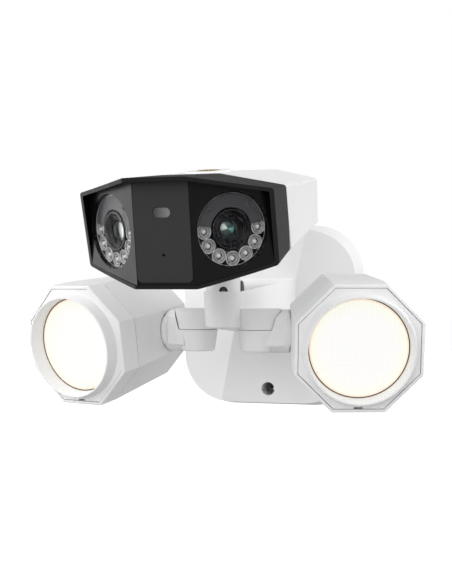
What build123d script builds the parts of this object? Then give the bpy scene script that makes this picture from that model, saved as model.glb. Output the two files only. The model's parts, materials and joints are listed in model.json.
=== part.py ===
"""Floodlight security camera: wall base with a cast arm, a panning and tilting twin-lens
camera head, and two octagonal floodlights that each swing and tilt on a knuckled arm.

Row frame: origin on the wall at the middle of the base, +X right, +Y into the wall, +Z up.
The front of the camera looks along -Y. All sizes are in millimetres.
"""
from build123d import *
from math import atan, cos, radians, sin, tan
import os

os.makedirs("parts", exist_ok=True)

# ---------------------------------------------------------------- driving dimensions
# base
base_size = 145.5            # outline of the base at the wall, across the flats
base_corner = 40.0           # corner radius of that outline
base_draft = 8.4             # degrees, how fast the sides lean in
ridge_depth = 38.0           # how far the middle of the base stands off the wall
ridge_half = 25.0            # half width of the middle band where the arm starts
side_slope = 0.295           # fall of the side facets, mm per mm
band_slope = 0.058           # fall of the middle band above and below the arm
base_wall = 3.0
box_screw_spacing = 88.9     # screws of a standard 3.5 inch junction box
plug_spacing = 70.0          # square of holes for wall plugs
cover_size, cover_corner = 136.0, 37.0
cover_posts = (106.0, 86.0)  # spacing of the four cover screws
plate_width, plate_height, plate_corner = 112.0, 132.0, 14.0
board_y = 16.0               # front of the wall to the driver board
board_thickness = 1.6        # of every circuit board

# arm, hub and knuckles of the casting
arm_bottom, arm_top = -12.5, 30.0
hub_y = -161.5
hub_bottom, hub_top = -3.8, 20.1
hub_radius_top, hub_radius_bottom = 13.2, 11.8
well_radius, well_floor = 11.5, 14.0
spigot_bore = 8.5
knuckle_x, knuckle_y = 20.7, -150.2
knuckle_top, knuckle_split, knuckle_bottom = 8.6, -5.2, -20.0
knuckle_radii = (16.0, 13.3, 11.3)   # at the top, the split and the bottom
split_gap = 0.3
edge_break = 0.9             # bevel round the lower rims of the hub and the knuckles
knuckle_pin_radius = 3.0

# neck between hub and head
neck_radius = 11.3
head_tilt_z = 37.0
fork_half = 5.25             # half width of the slot in the neck
fork_radius = 8.5            # round top of the fork, about the tilt axis
head_pin_radius = 2.5

# camera head, measured in its own straight frame
head_origin = (0.0, -287.6, 51.3)
head_pitch = 10.5
face_half = 16.2             # half width of the centre panel
face_turn = 38.5             # degrees, how far each lens face turns back
window_along = 24.9          # from the fold to the middle of a window
window_radius = 21.2
head_rear = 165.0            # depth of the back of the head behind the centre panel
joint_depth = 63.0           # depth where the black visor meets the white housing
joint_lean = 11.6            # degrees, how far that meeting line leans forward
lip_lean = 10.1              # degrees, how far the visor's front edge leans forward
block_front = -12.0          # front of the solid block the visor is cut from
visor_wall = 2.2
housing_wall = 2.8
sensor_place = (0, 12.1)     # on the centre panel
microphone_place = (0, -11.2)
led_ring = 16.2              # radius of the ring of infrared lamps

# lamps
lamp_reach = 59.2            # tilt disc side: knuckle axis to lamp centre line
lamp_forward = 58.6          # tilt axis to the front rim
lamp_flats = 80.0            # octagon across its flats
lamp_back_flats = 72.0
bezel_depth = 16.0
lamp_depth = 78.0
tilt_z = -6.3
disc_face = 21.5             # knuckle axis to the face of the tilt disc
disc_radius = 14.2
web_width = 22.0             # of the web between knuckle and tilt disc
lamp_pin_radius = 4.0
face_inset = 4.6             # the face plate is this much smaller than the rim, across the flats
lamp_poses = {"right": (1, 16.6, 8.6), "left": (-1, -18.6, 9.3)}   # side, yaw, pitch


# ---------------------------------------------------------------- planes
def facing(origin, yaw=0.0, pitch=0.0):
    """Plane that looks forward, turned by yaw towards +X and pitched down."""
    front = Vector(0, -1, 0).rotate(Axis.X, pitch).rotate(Axis.Z, yaw)
    return Plane(origin=origin, x_dir=Vector(1, 0, 0).rotate(Axis.Z, yaw), z_dir=front)


def seen_from_above(front):
    """The plane with x to the right and y backwards."""
    return Plane(origin=front.origin, x_dir=front.x_dir, z_dir=front.y_dir)


def seen_from_right(front):
    """The plane with x backwards and y up."""
    return Plane(origin=front.origin, x_dir=-front.z_dir, z_dir=front.x_dir)


wall = Plane.XZ                       # looks forward, like every facing() plane
pieces = {}                           # node name to its BuildPart


# ---------------------------------------------------------------- base
def base_form(inset, start):
    """Drafted rounded block under a low roof of facets, its surfaces moved in by inset."""
    foot = base_size - 2 * inset - 2 * start * tan(radians(base_draft))
    head_size = base_size - 2 * inset - 2 * ridge_depth * tan(radians(base_draft))
    edge = base_size / 2 + 5
    ridge = inset - ridge_depth
    side_y = ridge + side_slope * (edge - ridge_half)
    low_y = ridge + band_slope * (edge + arm_bottom)
    high_y = ridge + band_slope * (edge - arm_top)
    with BuildPart() as form:
        with BuildSketch(wall.offset(start)):
            RectangleRounded(foot, foot, base_corner - inset)
        with BuildSketch(wall.offset(ridge_depth)):
            RectangleRounded(head_size, head_size, base_corner - inset - 2)
        loft(ruled=True)
        with BuildSketch(Plane.XY.offset(-edge)):
            with BuildLine():
                Polyline((-edge, 1), (-edge, side_y), (-ridge_half, ridge), (ridge_half, ridge),
                         (edge, side_y), (edge, 1), close=True)
            make_face()
        extrude(amount=2 * edge, mode=Mode.INTERSECT)
        with BuildSketch(Plane.YZ.offset(-edge)):
            with BuildLine():
                Polyline((1, -edge), (low_y, -edge), (ridge, arm_bottom), (ridge, arm_top),
                         (high_y, edge), (1, edge), close=True)
            make_face()
        extrude(amount=2 * edge, mode=Mode.INTERSECT)
    return form.part


housing_start = 1.0
screw_well = 5.25
screw_holes = [(2.0, -56.8), (-2.0, 56.8)]      # service screws, seen from the front
base_outer = base_form(0, housing_start)
base_cavity = base_form(base_wall, 0)

with BuildPart() as base_housing:
    add(base_outer)
    # arm: from a wide root on the base to the hub
    with BuildSketch(wall.offset(ridge_depth - 4)):
        with BuildLine():
            Polyline((-24, arm_bottom), (24, arm_bottom), (25, arm_top), (-25, arm_top), close=True)
        make_face()
    with BuildSketch(wall.offset(-hub_y)):
        with BuildLine():
            Polyline((-11.2, hub_bottom), (11.2, hub_bottom), (12.6, hub_top), (-12.6, hub_top),
                     close=True)
        make_face()
    loft(ruled=True)
    # hub, a little wider at the top
    with BuildSketch(Plane.XY.offset(hub_bottom)):
        with Locations((0, hub_y)):
            Circle(hub_radius_bottom - edge_break)
    with BuildSketch(Plane.XY.offset(hub_bottom + edge_break)):
        with Locations((0, hub_y)):
            Circle(hub_radius_bottom)
    with BuildSketch(Plane.XY.offset(hub_top)):
        with Locations((0, hub_y)):
            Circle(hub_radius_top)
    loft(ruled=True)
    # fixed upper halves of the two knuckles
    for side in (-1, 1):
        with BuildSketch(Plane.XY.offset(knuckle_split)):
            with Locations((side * knuckle_x, knuckle_y)):
                Circle(knuckle_radii[1])
        with BuildSketch(Plane.XY.offset(knuckle_top)):
            with Locations((side * knuckle_x, knuckle_y)):
                Circle(knuckle_radii[0])
        loft()
    # hollow base, open to the wall
    add(base_cavity, mode=Mode.SUBTRACT)
    # clear way for the turning neck, its well and the spigot bore
    with BuildSketch(Plane.XY.offset(hub_top)):
        with Locations((0, hub_y)):
            Circle(neck_radius + 0.9)
    extrude(amount=20, mode=Mode.SUBTRACT)
    with BuildSketch(Plane.XY.offset(well_floor)):
        with Locations((0, hub_y)):
            Circle(well_radius)
    extrude(amount=20, mode=Mode.SUBTRACT)
    with BuildSketch(Plane.XY.offset(hub_bottom + 2.5)):
        with Locations((0, hub_y)):
            Circle(spigot_bore)
    extrude(amount=20, mode=Mode.SUBTRACT)
    # cable duct from the base to the hub
    with BuildSketch(wall.offset(ridge_depth - 6)):
        with Locations((0, 7)):
            Circle(5.5)
    extrude(amount=-hub_y - ridge_depth + 6, mode=Mode.SUBTRACT)
    # blind bores for the knuckle pins
    with BuildSketch(Plane.XY.offset(knuckle_split)):
        with Locations((knuckle_x, knuckle_y), (-knuckle_x, knuckle_y)):
            Circle(knuckle_pin_radius + 0.05)
    extrude(amount=10, mode=Mode.SUBTRACT)
    # posts inside for the service screws, then their stepped holes
    for x, z in screw_holes:
        with BuildSketch(wall.offset(12)):
            with Locations((x, z)):
                Circle(7.5)
        extrude(amount=22)
        with BuildSketch(wall.offset(12)):
            with Locations((x, z)):
                Circle(2.3)
        extrude(amount=10, mode=Mode.SUBTRACT)
        with BuildSketch(wall.offset(15)):
            with Locations((x, z)):
                Circle(screw_well)
        extrude(amount=30, mode=Mode.SUBTRACT)
        # small locating rib in each well
        with BuildSketch(wall.offset(21)):
            with Locations((x + screw_well, z)):
                Rectangle(2.6, 1.6)
        extrude(amount=12.5)
    # posts for the four cover screws
    with BuildSketch(wall.offset(10)):
        with GridLocations(*cover_posts, 2, 2):
            Circle(4)
    extrude(amount=17)
    with BuildSketch(wall.offset(10)):
        with GridLocations(*cover_posts, 2, 2):
            Circle(1.5)
    extrude(amount=8, mode=Mode.SUBTRACT)
pieces["base_housing"] = base_housing

with BuildPart() as base_cover:
    with BuildSketch(wall.offset(7)):
        RectangleRounded(cover_size, cover_size, cover_corner)
        with Locations((0, 0)):
            Circle(9, mode=Mode.SUBTRACT)
        with GridLocations(*cover_posts, 2, 2):
            Circle(1.7, mode=Mode.SUBTRACT)
        with Locations(*screw_holes):
            Circle(8, mode=Mode.SUBTRACT)
    extrude(amount=3)
pieces["base_cover"] = base_cover

with BuildPart() as base_gasket:
    with BuildSketch(wall):
        RectangleRounded(base_size - 1, base_size - 1, base_corner - 0.5)
        RectangleRounded(base_size - 8, base_size - 8, base_corner - 4, mode=Mode.SUBTRACT)
    extrude(amount=housing_start)
pieces["base_gasket"] = base_gasket

with BuildPart() as mounting_plate:
    with BuildSketch(wall):
        RectangleRounded(plate_width, plate_height, plate_corner)
        Circle(10, mode=Mode.SUBTRACT)
        with GridLocations(box_screw_spacing, 0, 2, 1):
            Circle(2.4, mode=Mode.SUBTRACT)
        with GridLocations(plug_spacing, plug_spacing, 2, 2):
            Circle(2.6, mode=Mode.SUBTRACT)
        with Locations(*screw_holes):
            Circle(1.75, mode=Mode.SUBTRACT)
    extrude(amount=2)
    # turned-up tabs that take the two service screws
    for x, z in screw_holes:
        with BuildSketch(wall.offset(2)):
            with Locations((x, z)):
                Circle(5)
                Circle(1.75, mode=Mode.SUBTRACT)
        extrude(amount=9.9)
pieces["mounting_plate"] = mounting_plate

with BuildPart() as base_screws:
    # two service screws that hold the base to the plate
    with BuildSketch(wall.offset(15)):
        with Locations(*screw_holes):
            Circle(4.4)
            RegularPolygon(1.6, 6, mode=Mode.SUBTRACT)
    extrude(amount=4)
    with BuildSketch(wall.offset(1)):
        with Locations(*screw_holes):
            Circle(1.7)
    extrude(amount=14)
    # four screws of the cover
    with BuildSketch(wall.offset(5)):
        with GridLocations(*cover_posts, 2, 2):
            Circle(2.9)
    extrude(amount=2)
    with BuildSketch(wall.offset(7)):
        with GridLocations(*cover_posts, 2, 2):
            Circle(1.45)
    extrude(amount=9)
pieces["base_screws"] = base_screws

with BuildPart() as inlet_grommet:
    with BuildSketch(wall):
        Circle(9.9)
        Circle(4.5, mode=Mode.SUBTRACT)
    extrude(amount=2)
    with BuildSketch(wall.offset(2)):
        Circle(13)
        Circle(4.5, mode=Mode.SUBTRACT)
    extrude(amount=5)
    with BuildSketch(wall.offset(7)):
        Circle(8.9)
        Circle(4.5, mode=Mode.SUBTRACT)
    extrude(amount=3)
    with BuildSketch(wall.offset(10)):
        Circle(11)
        Circle(4.5, mode=Mode.SUBTRACT)
    extrude(amount=2)
pieces["inlet_grommet"] = inlet_grommet

with BuildPart() as driver_board:
    with BuildSketch(wall.offset(board_y)):
        Rectangle(92, 68)
        with Locations((0, 3)):
            Circle(12, mode=Mode.SUBTRACT)
        with GridLocations(*cover_posts, 2, 2):
            Circle(5, mode=Mode.SUBTRACT)
    extrude(amount=1.6)
    # transformer, capacitors and choke of the lamp driver
    with BuildSketch(wall.offset(board_y + board_thickness)):
        with Locations((-24, -16)):
            Rectangle(20, 18)
        with Locations((16, -18), (28, -18)):
            Circle(4.5)
        with Locations((-26, 16)):
            Circle(7)
    extrude(amount=9)
pieces["driver_board"] = driver_board

with BuildPart() as terminal_block:
    with BuildSketch(wall.offset(board_y + board_thickness)):
        with Locations((26, 18)):
            Rectangle(26, 12)
            with GridLocations(8, 0, 3, 1):
                Circle(2, mode=Mode.SUBTRACT)
    extrude(amount=8)
pieces["terminal_block"] = terminal_block


# ---------------------------------------------------------------- neck
set_screw_place = facing((0, hub_y, hub_top + 0.5), 15)      # turned a little to the right

with BuildPart() as neck:
    with BuildSketch(Plane.XY.offset(well_floor + split_gap)):
        with Locations((0, hub_y)):
            Circle(neck_radius)
    extrude(amount=head_tilt_z + fork_radius - well_floor - split_gap)
    # round the top of the fork about the tilt axis
    with BuildSketch(Plane.YZ.offset(-20)):
        with Locations((hub_y, head_tilt_z)):
            Circle(fork_radius)
        with Locations((hub_y, head_tilt_z - 2 * fork_radius)):
            Rectangle(30, 30)
    extrude(amount=40, mode=Mode.INTERSECT)
    with BuildSketch(Plane.XY.offset(hub_bottom + 3)):
        with Locations((0, hub_y)):
            Circle(spigot_bore - 0.07)
    extrude(amount=well_floor + split_gap - hub_bottom - 3)
    # slot for the foot of the head
    with BuildSketch(Plane.XY.offset(head_tilt_z - 9.5)):
        with Locations((0, hub_y)):
            Rectangle(2 * fork_half, 40)
    extrude(amount=30, mode=Mode.SUBTRACT)
    # cable way down the middle
    with BuildSketch(Plane.XY.offset(hub_bottom)):
        with Locations((0, hub_y)):
            Circle(4.8)
    extrude(amount=60, mode=Mode.SUBTRACT)
    # bore for the tilt pin and the hole of the set screw
    with BuildSketch(Plane.YZ.offset(-20)):
        with Locations((hub_y, head_tilt_z)):
            Circle(head_pin_radius + 0.03)
    extrude(amount=40, mode=Mode.SUBTRACT)
    with BuildSketch(Plane.YZ.offset(10.2)):
        with Locations((hub_y, head_tilt_z)):
            Circle(4.7)
    extrude(amount=5, mode=Mode.SUBTRACT)
    with BuildSketch(set_screw_place.offset(6)):
        Circle(2.8)
    extrude(amount=10, mode=Mode.SUBTRACT)
pieces["neck"] = neck

with BuildPart() as neck_set_screw:
    with BuildSketch(set_screw_place.offset(6)):
        Circle(2.7)
        RegularPolygon(1.4, 6, mode=Mode.SUBTRACT)
    extrude(amount=3)
pieces["neck_set_screw"] = neck_set_screw

with BuildPart() as head_tilt_pin:
    with BuildSketch(Plane.YZ.offset(-10.6)):
        with Locations((hub_y, head_tilt_z)):
            Circle(head_pin_radius)
    extrude(amount=20.9)
    with BuildSketch(Plane.YZ.offset(10.3)):
        with Locations((hub_y, head_tilt_z)):
            Circle(4.4)
            RegularPolygon(1.8, 6, mode=Mode.SUBTRACT)
    extrude(amount=2.4)
pieces["head_tilt_pin"] = head_tilt_pin


# ---------------------------------------------------------------- camera head
head = facing(head_origin, 0, head_pitch)
head_above = seen_from_above(head)
head_right = seen_from_right(head)

# outline of the head at three depths: flat half width and height of the top, half width and
# heights of the sides, flat half width and height of the bottom
sections = {
    block_front: (17.2, 32.0, 57.0, 23.0, -26.5, 18.9, -30.7),
    joint_depth: (18.0, 28.1, 57.0, 20.3, -18.9, 19.0, -26.8),
    head_rear: (29.5, 22.8, 57.0, 15.9, -14.0, 29.5, -20.8),
}


def head_block(front_depth, back_depth, inset, corner):
    """Head body between two of the section depths, moved in by inset, corners rounded."""
    with BuildPart() as block:
        for depth in (front_depth, back_depth):
            top_half, top, half, side_top, side_bottom, bottom_half, bottom = sections[depth]
            with BuildSketch(head.offset(-depth)) as section:
                Polygon((-top_half, top), (top_half, top), (half, side_top), (half, side_bottom),
                        (bottom_half, bottom), (-bottom_half, bottom), (-half, side_bottom),
                        (-half, side_top), align=None)
                if inset:
                    offset(amount=-inset, kind=Kind.INTERSECTION)
                fillet(section.vertices(), corner)
        loft(ruled=True)
    return block.part


def chevron(front_gap, back_gap, half, lean):
    """Folded slab that follows the centre panel and the two lens faces.

    front_gap and back_gap are its depths at the middle, half is the half width of the
    middle facet, and lean tips the whole slab forward.
    """
    reach = 70.0
    fall = (reach - half) * tan(radians(face_turn if lean == 0 else face_turn + 2))
    height = 90.0
    start = Plane(origin=head_above.origin - head_above.z_dir * height / 2
                  + head_above.y_dir * height / 2 * tan(radians(lean)),
                  x_dir=head_above.x_dir, z_dir=head_above.z_dir)
    with BuildPart() as slab:
        with BuildSketch(start):
            with BuildLine():
                Polyline((-reach, front_gap + fall), (-half, front_gap), (half, front_gap),
                         (reach, front_gap + fall), (reach, back_gap + fall), (half, back_gap),
                         (-half, back_gap), (-reach, back_gap + fall), close=True)
            make_face()
        extrude(amount=height / cos(radians(lean)),
                dir=head_above.z_dir * cos(radians(lean)) - head_above.y_dir * sin(radians(lean)))
    return slab.part


def joint_slab(front_depth, back_depth):
    """Slab between two planes parallel to the joint of visor and housing."""
    leaned = facing(head.from_local_coords((0, 0, -joint_depth)), 0, head_pitch + joint_lean)
    with BuildPart() as slab:
        with BuildSketch(leaned.offset(joint_depth - back_depth)):
            Rectangle(200, 200)
        extrude(amount=back_depth - front_depth)
    return slab.part


def inner_ring(front_depth, back_depth, outer_inset, inner_inset):
    """Ring that follows the outline of the visor inside it, parallel to the joint."""
    with BuildPart() as ring:
        add(head_block(block_front, joint_depth, outer_inset, 1.2))
        add(head_block(block_front, joint_depth, inner_inset, 1.0), mode=Mode.SUBTRACT)
        add(joint_slab(front_depth, back_depth), mode=Mode.INTERSECT)
    return ring.part


visor_block = head_block(block_front, joint_depth, 0, 2.0)
visor_space = head_block(block_front, joint_depth, visor_wall, 1.2)
front_of_joint = joint_slab(-60, joint_depth - 0.25)
behind_joint = joint_slab(joint_depth + 0.25, 260)
lip_region = chevron(-4.7, 300, 17.6, lip_lean)

with BuildPart() as visor:
    add(visor_block)
    add(lip_region, mode=Mode.INTERSECT)
    add(front_of_joint, mode=Mode.INTERSECT)
    add(visor_space, mode=Mode.SUBTRACT)
pieces["visor"] = visor

with BuildPart() as head_space:
    add(head_block(block_front, joint_depth, housing_wall, 1.2))
    add(head_block(joint_depth, head_rear, housing_wall, 1.2))
    with BuildSketch(head.offset(3 - head_rear)):
        Rectangle(200, 200)
    extrude(amount=200, mode=Mode.INTERSECT)

# places on the head, in its straight frame
bottom_slope = (sections[joint_depth][6] - sections[head_rear][6]) / (joint_depth - head_rear)
foot_depth, foot_drop = 121.4, -37.0           # the tilt axis
service_depth = 90.0
speaker_depth = 149.0
tripod_depth, tripod_top = 97.0, 27.7
foot_screws = [(-8.5, foot_depth), (8.5, foot_depth)]
lid_screws = [(-16, 0), (16, 0)]               # of the service cover
button_place, card_slot_place = (7, 0), (-5, 0)


def bottom_at(depth):
    """Height of the underside of the head at a depth."""
    return sections[joint_depth][6] + bottom_slope * (depth - joint_depth)


def on_head(x, depth, height):
    """Point of the row frame for a place in the straight frame of the head."""
    return head.from_local_coords((x, height, -depth))


under_lean = atan(bottom_slope)
under = Plane(origin=on_head(0, service_depth, bottom_at(service_depth)), x_dir=head.x_dir,
              z_dir=-head.y_dir * cos(under_lean) - head.z_dir * sin(under_lean))
top_boss = Plane(origin=on_head(0, tripod_depth, 0), x_dir=head.x_dir, z_dir=head.y_dir)
bottom_up = Plane(origin=on_head(0, 0, 0), x_dir=head.x_dir, z_dir=head.y_dir)

with BuildPart() as head_housing:
    add(head_block(block_front, joint_depth, 0, 2.0))
    add(head_block(joint_depth, head_rear, 0, 2.0))
    add(behind_joint, mode=Mode.INTERSECT)
    fillet(faces().sort_by(Axis((0, 0, 0), head.z_dir))[0].edges(), 1.9)
    add(head_space.part, mode=Mode.SUBTRACT)
    # spigot that slides into the visor
    add(inner_ring(joint_depth - 6, joint_depth + 2, visor_wall + 0.2, 4.6))
    # boss for the accessory thread on top
    with BuildSketch(top_boss.offset(tripod_top)):
        Circle(14)
    extrude(amount=-3.5)
    with BuildSketch(top_boss.offset(tripod_top - 3)):
        Circle(10)
    extrude(amount=-7.5)
    with BuildSketch(top_boss.offset(tripod_top)):
        Circle(7.05)
    extrude(amount=-8.6, mode=Mode.SUBTRACT)
    # service pocket in the underside, with a button hole in its floor
    with BuildSketch(under.offset(-1)):
        RectangleRounded(42, 20, 2)
    extrude(amount=-8)
    with BuildSketch(under.offset(1)):
        RectangleRounded(38.6, 18.8, 3)
    extrude(amount=-2.8, mode=Mode.SUBTRACT)
    with BuildSketch(under.offset(-1)):
        RectangleRounded(26, 13, 2)
    extrude(amount=-6.5, mode=Mode.SUBTRACT)
    with BuildSketch(under.offset(-1)):
        with Locations(button_place):
            Circle(2.1)
        with Locations(card_slot_place):
            Rectangle(12, 1.4)
    extrude(amount=-9, mode=Mode.SUBTRACT)
    with BuildSketch(under):
        with Locations(*lid_screws):
            Circle(1.25)
    extrude(amount=-7, mode=Mode.SUBTRACT)
    # screw holes for the foot and sound holes for the speaker
    with BuildSketch(bottom_up.offset(-30)):
        with Locations(*foot_screws):
            Circle(1.6)
        with Locations((0, speaker_depth)):
            Circle(0.9)
            with PolarLocations(4.2, 6):
                Circle(0.9)
            with PolarLocations(8.2, 12):
                Circle(0.9)
    extrude(amount=15, mode=Mode.SUBTRACT)
pieces["head_housing"] = head_housing

with BuildPart() as front_gasket:
    add(inner_ring(joint_depth - 8, joint_depth - 6, visor_wall + 0.1, 4.6))
pieces["front_gasket"] = front_gasket


def window_plane(side):
    """Plane on a lens face at the middle of its window, looking out."""
    turn = radians(side * face_turn)
    along = window_along * cos(turn)
    centre = on_head(side * (face_half + along), window_along * abs(sin(turn)), 0.3)
    return Plane(origin=centre, x_dir=head.x_dir * cos(turn) - head.z_dir * sin(turn),
                 z_dir=head.z_dir * cos(turn) + head.x_dir * sin(turn))


with BuildPart() as front_frame:
    add(head_block(block_front, joint_depth, visor_wall + 0.12, 1.2))
    add(chevron(0, 4, face_half, 0), mode=Mode.INTERSECT)
    # seat of the centre panel
    with BuildSketch(head.offset(1)):
        Rectangle(2 * face_half, 90)
    extrude(amount=-2.4, mode=Mode.SUBTRACT)
    with BuildSketch(head.offset(1)):
        with Locations(sensor_place):
            SlotOverall(9.5, 5.1)
        with Locations(microphone_place):
            Circle(2.6)
    extrude(amount=-9, mode=Mode.SUBTRACT)
    for side in (-1, 1):
        with BuildSketch(window_plane(side).offset(1)):
            Circle(window_radius + 0.1)
        extrude(amount=-3.3, mode=Mode.SUBTRACT)
        with BuildSketch(window_plane(side)):
            Circle(window_radius - 1)
        extrude(amount=-9, mode=Mode.SUBTRACT)
pieces["front_frame"] = front_frame

with BuildPart() as centre_panel:
    with BuildSketch(head) as outline:
        with Locations((0, 1.4)):
            Rectangle(2 * face_half - 0.3, 55.4)
        fillet(outline.vertices().group_by(Axis.Y)[0], 3)
        with Locations(sensor_place):
            SlotOverall(10.0, 5.6, mode=Mode.SUBTRACT)
        with Locations(microphone_place):
            Circle(0.75, mode=Mode.SUBTRACT)
    extrude(amount=-1.3)
pieces["centre_panel"] = centre_panel

with BuildPart() as light_sensor_window:
    with BuildSketch(head.offset(-0.35)):
        with Locations(sensor_place):
            SlotOverall(9.8, 5.4)
    extrude(amount=-0.95)
    with BuildSketch(head.offset(-1.3)):
        with Locations(sensor_place):
            SlotOverall(9.2, 4.8)
    extrude(amount=-3)
pieces["light_sensor_window"] = light_sensor_window

with BuildPart() as microphone_boot:
    with BuildSketch(head.offset(-1.45)):
        with Locations(microphone_place):
            Circle(2.5)
            Circle(0.7, mode=Mode.SUBTRACT)
    extrude(amount=-5)
pieces["microphone_boot"] = microphone_boot

for side, name in ((-1, "left"), (1, "right")):
    face = window_plane(side)

    with BuildPart() as window:
        with BuildSketch(face.offset(-0.15)):
            Circle(window_radius)
        extrude(amount=-2.1)
    pieces[name + "_window"] = window

    with BuildPart() as barrel:
        with BuildSketch(face.offset(-8)):
            Circle(11.4)
        extrude(amount=-14)
        with BuildSketch(face.offset(-8)):
            Circle(11.4)
            Circle(9.8, mode=Mode.SUBTRACT)
        extrude(amount=4.6)
        with BuildSketch(face.offset(-8)):
            Circle(8.8)
            Circle(6.6, mode=Mode.SUBTRACT)
        extrude(amount=2.4)
        with BuildSketch(face.offset(-8)):
            Circle(6.4)
        extrude(amount=-3, mode=Mode.SUBTRACT)
        with BuildSketch(face.offset(-11)):
            Circle(4)
        extrude(amount=-11, mode=Mode.SUBTRACT)
    pieces[name + "_lens_barrel"] = barrel

    with BuildPart() as front_element:
        with Locations(face.offset(-14.2).location):
            Sphere(8.6)
        with BuildSketch(face.offset(-11)):
            Circle(6.3)
        extrude(amount=8, mode=Mode.INTERSECT)
    pieces[name + "_front_element"] = front_element

    with BuildPart() as ir_board:
        with BuildSketch(face.offset(-9)):
            Circle(20.1)
            Circle(11.7, mode=Mode.SUBTRACT)
        extrude(amount=-1.6)
    pieces[name + "_ir_board"] = ir_board

    # seven infrared lamps around the lower half, each a cup with a domed lens
    with BuildPart() as ir_lamps:
        with BuildSketch(face.offset(-9)):
            with PolarLocations(led_ring, 7, start_angle=180, angular_range=180, endpoint=True):
                Circle(4.0)
        extrude(amount=3.6)
        for place in PolarLocations(led_ring, 7, start_angle=180, angular_range=180,
                                    endpoint=True).locations:
            spot = face.location * place
            with Locations(spot * Location((0, 0, -6.7))):
                Cone(2.4, 3.6, 2.8, mode=Mode.SUBTRACT)
            with Locations(spot * Location((0, 0, -8.2))):
                Sphere(2.2)
        with BuildSketch(face.offset(-9)):
            Circle(30)
        extrude(amount=-5, mode=Mode.SUBTRACT)
    pieces[name + "_ir_lamps"] = ir_lamps

    with BuildPart() as sensor_board:
        with BuildSketch(face.offset(-22)):
            Rectangle(33, 33)
        extrude(amount=-1.6)
        with BuildSketch(face.offset(-23.6)):
            Rectangle(18, 12)
        extrude(amount=-2.5)
    pieces[name + "_sensor_board"] = sensor_board

with BuildPart() as main_board:
    with BuildSketch(bottom_up.offset(-10)):
        with Locations((0, 112)):
            Rectangle(78, 76)
    extrude(amount=1.6)
    with BuildSketch(bottom_up.offset(-8.4)):
        with Locations((0, 116)):
            Rectangle(30, 30)
        with Locations((-28, 90), (28, 92)):
            Rectangle(14, 12)
    extrude(amount=3.5)
    # tactile switch over the reset button and the memory card holder over its slot
    with BuildSketch(under.offset(-10.9)):
        with Locations(button_place):
            Circle(2.5)
        with Locations(card_slot_place):
            Rectangle(14, 3)
    extrude(amount=-4.6)
pieces["main_board"] = main_board

with BuildPart() as speaker:
    with BuildSketch(bottom_up.offset(-18.2)):
        with Locations((0, speaker_depth)):
            Circle(11)
    extrude(amount=7)
pieces["speaker"] = speaker

with BuildPart() as tripod_insert:
    with BuildSketch(top_boss.offset(tripod_top + 0.15)):
        Circle(7)
    extrude(amount=-8.7)
    with BuildSketch(top_boss.offset(tripod_top + 0.15)):
        Circle(3.175)
    extrude(amount=-7.5, mode=Mode.SUBTRACT)
pieces["tripod_insert"] = tripod_insert

with BuildPart() as service_cover:
    with BuildSketch(under.offset(-0.1)):
        RectangleRounded(38.2, 18.4, 2.8)
        with Locations(*lid_screws):
            Circle(1.35, mode=Mode.SUBTRACT)
    extrude(amount=-1.6)
    with BuildSketch(under.offset(-0.1)):
        with Locations(*lid_screws):
            Circle(2.5)
    extrude(amount=-0.8, mode=Mode.SUBTRACT)
pieces["service_cover"] = service_cover

with BuildPart() as reset_button:
    with BuildSketch(under.offset(-5.6)):
        with Locations(button_place):
            Circle(2.05)
    extrude(amount=-3.6)
    with BuildSketch(under.offset(-9.2)):
        with Locations(button_place):
            Circle(3)
    extrude(amount=-0.8)
pieces["reset_button"] = reset_button

with BuildPart() as head_foot:
    with BuildSketch(bottom_up.offset(-27.2)):
        with Locations((0, foot_depth)):
            Circle(13)
    extrude(amount=7.2)
    with BuildSketch(head_right.offset(0.35 - fork_half)):
        with BuildLine():
            Polyline((foot_depth - 11, -26.4), (foot_depth + 11, -26.4),
                     (foot_depth + 7.3, foot_drop - 1.6), (foot_depth - 7.3, foot_drop - 1.6),
                     close=True)
        make_face()
        with Locations((foot_depth, foot_drop)):
            Circle(7.5)
    extrude(amount=2 * fork_half - 0.7)
    add(head_block(joint_depth, head_rear, 0, 2.0), mode=Mode.SUBTRACT)
    with BuildSketch(head_right.offset(-20)):
        with Locations((foot_depth, foot_drop)):
            Circle(head_pin_radius + 0.06)
    extrude(amount=40, mode=Mode.SUBTRACT)
    with BuildSketch(bottom_up.offset(-31)):
        with Locations(*foot_screws):
            Circle(1.5)
    extrude(amount=9, mode=Mode.SUBTRACT)
pieces["head_foot"] = head_foot

with BuildPart() as head_screws:
    # two screws of the service cover
    with BuildSketch(under.offset(-0.1)):
        with Locations(*lid_screws):
            Circle(2.4)
    extrude(amount=-0.75)
    with BuildSketch(under.offset(-0.85)):
        with Locations(*lid_screws):
            Circle(1.2)
    extrude(amount=-5.5)
    # two screws that hold the foot
    with BuildSketch(bottom_up.offset(-20.2)):
        with Locations(*foot_screws):
            Circle(2.8)
    extrude(amount=2)
    with BuildSketch(bottom_up.offset(-20.2)):
        with Locations(*foot_screws):
            Circle(1.45)
    extrude(amount=-8)
pieces["head_screws"] = head_screws


# ---------------------------------------------------------------- lamps
def octagon(flats):
    """Octagon with level top and bottom flats, drawn in the open sketch."""
    return RegularPolygon(flats / 2, 8, major_radius=False, rotation=22.5)


with BuildPart() as knuckle_pins:
    with BuildSketch(Plane.XY.offset(knuckle_bottom + 3.4)):
        with Locations((knuckle_x, knuckle_y), (-knuckle_x, knuckle_y)):
            Circle(knuckle_pin_radius)
    extrude(amount=20.5)
    with BuildSketch(Plane.XY.offset(knuckle_bottom + 0.5)):
        with Locations((knuckle_x, knuckle_y), (-knuckle_x, knuckle_y)):
            Circle(5.3)
            RegularPolygon(2, 6, mode=Mode.SUBTRACT)
    extrude(amount=2.9)
pieces["knuckle_pins"] = knuckle_pins

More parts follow.
